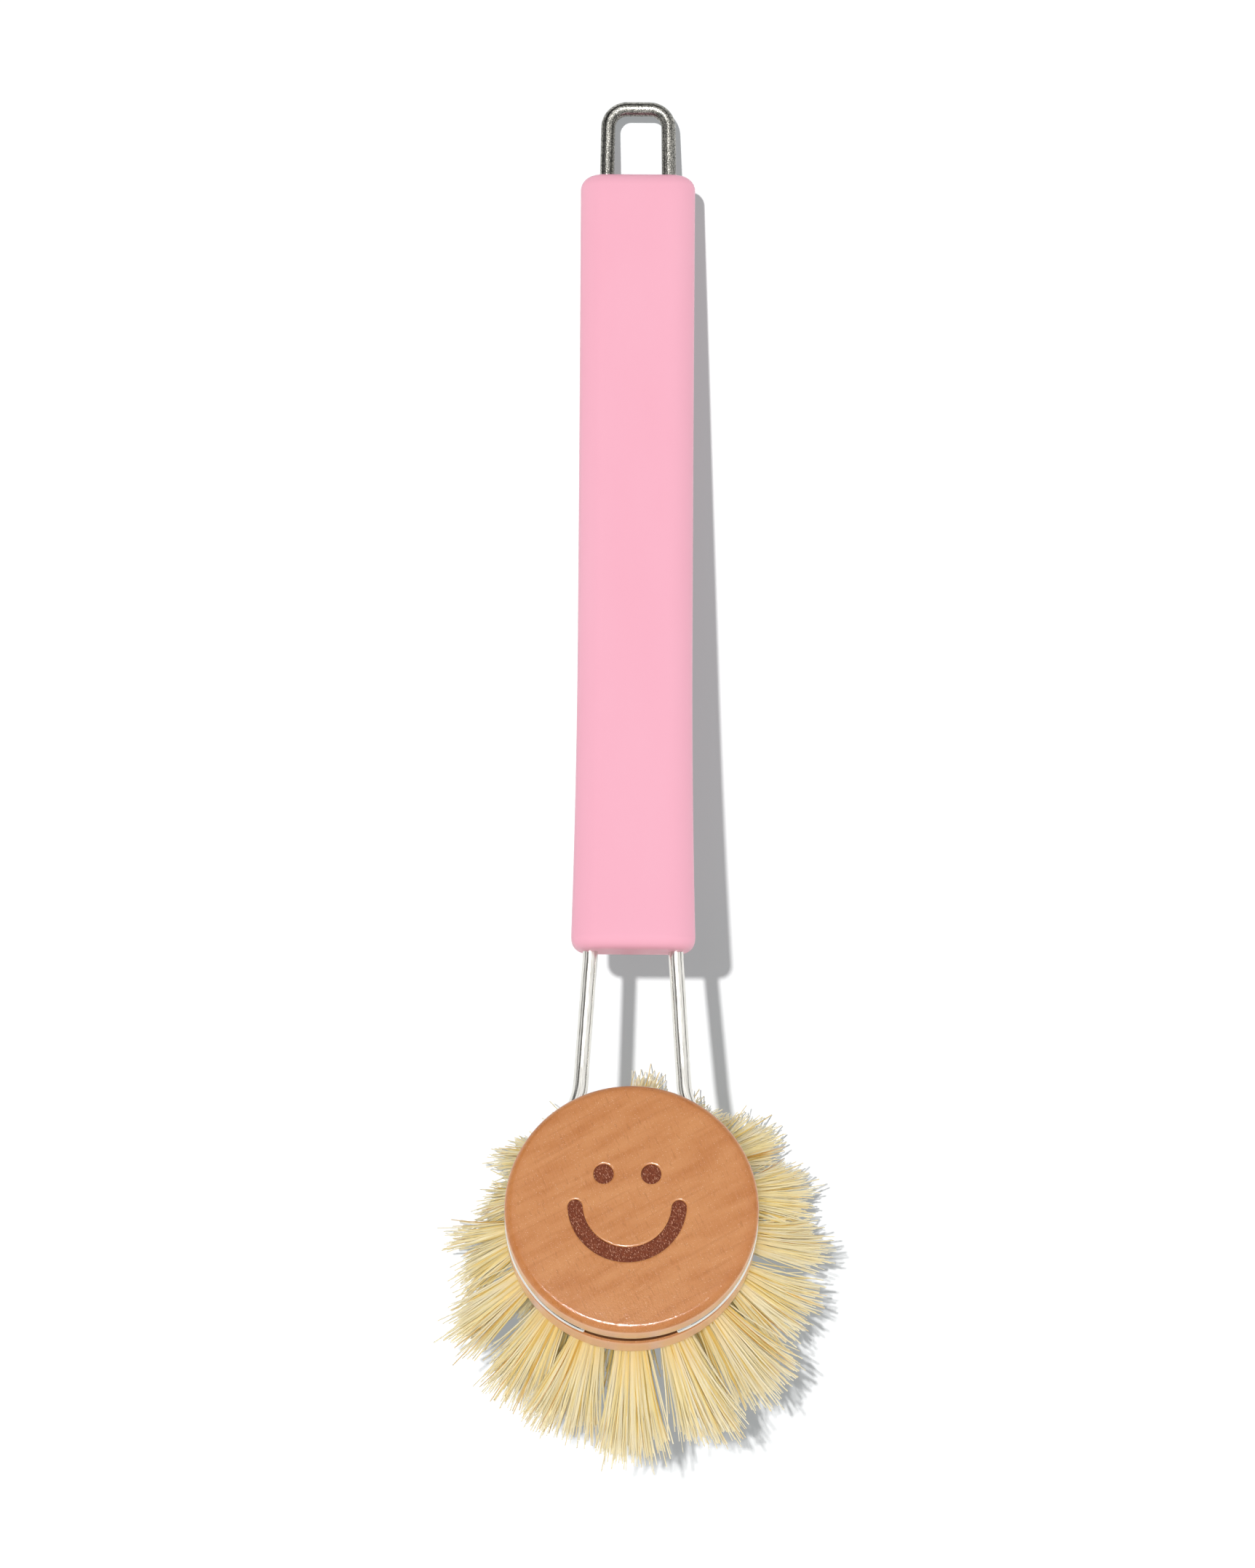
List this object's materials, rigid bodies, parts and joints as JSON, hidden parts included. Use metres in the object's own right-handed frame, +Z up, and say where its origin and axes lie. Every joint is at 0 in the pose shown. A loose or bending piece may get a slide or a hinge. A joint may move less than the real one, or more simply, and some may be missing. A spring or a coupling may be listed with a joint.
{
  "type": "dish brush",
  "caption": "Dish brush with a flat lacquered wooden handle on a bent spring-wire fork that clips into the groove of a round, replaceable wooden head set with splayed plant-fibre tufts.",
  "frame": {"origin": "on the table, under the middle of the brush's length and width, as it lies on its handle's end and its nearest fibre tips", "axes": "+Y from the head towards the hanging loop, +X to the right seen from above with the loop away, +Z up"},
  "size_m": [0.0648, 0.2232, 0.0517],
  "materials": {
    "handle_lacquer": "opaque pink satin lacquer over wood",
    "wire_steel": "bright drawn steel wire, plated, duller at the hanging loop",
    "head_wood": "turned wood with a clear glossy lacquer",
    "plant_fibre": "stiff straw-coloured plant fibre with cut tips",
    "anchor_steel": "flat cut wire"
  },
  "bodies": {
    "handle_frame": {"handle": "handle_lacquer", "wire_frame": "wire_steel"},
    "head": {"head_block": "head_wood", "bristles_outer_row": "plant_fibre", "bristles_middle_row": "plant_fibre", "bristles_inner_row": "plant_fibre", "tuft_anchor_inner_01": "anchor_steel", "tuft_anchor_inner_02": "anchor_steel", "tuft_anchor_inner_03": "anchor_steel", "tuft_anchor_inner_04": "anchor_steel", "tuft_anchor_middle_01": "anchor_steel", "tuft_anchor_middle_02": "anchor_steel", "tuft_anchor_middle_03": "anchor_steel", "tuft_anchor_middle_04": "anchor_steel", "tuft_anchor_middle_05": "anchor_steel", "tuft_anchor_middle_06": "anchor_steel", "tuft_anchor_middle_07": "anchor_steel", "tuft_anchor_middle_08": "anchor_steel", "tuft_anchor_middle_09": "anchor_steel", "tuft_anchor_middle_10": "anchor_steel", "tuft_anchor_outer_01": "anchor_steel", "tuft_anchor_outer_02": "anchor_steel", "tuft_anchor_outer_03": "anchor_steel", "tuft_anchor_outer_04": "anchor_steel", "tuft_anchor_outer_05": "anchor_steel", "tuft_anchor_outer_06": "anchor_steel", "tuft_anchor_outer_07": "anchor_steel", "tuft_anchor_outer_08": "anchor_steel", "tuft_anchor_outer_09": "anchor_steel", "tuft_anchor_outer_10": "anchor_steel", "tuft_anchor_outer_11": "anchor_steel", "tuft_anchor_outer_12": "anchor_steel", "tuft_anchor_outer_13": "anchor_steel", "tuft_anchor_outer_14": "anchor_steel", "tuft_anchor_outer_15": "anchor_steel", "tuft_anchor_outer_16": "anchor_steel"}
  },
  "joints": [
    {"name": "head_swivel", "type": "hinge", "parent": "handle_frame", "child": "head", "pos_m": [0, -0.07086, 0.03923], "axis": [0, 0.3464, 0.9381], "continuous": true}
  ]
}
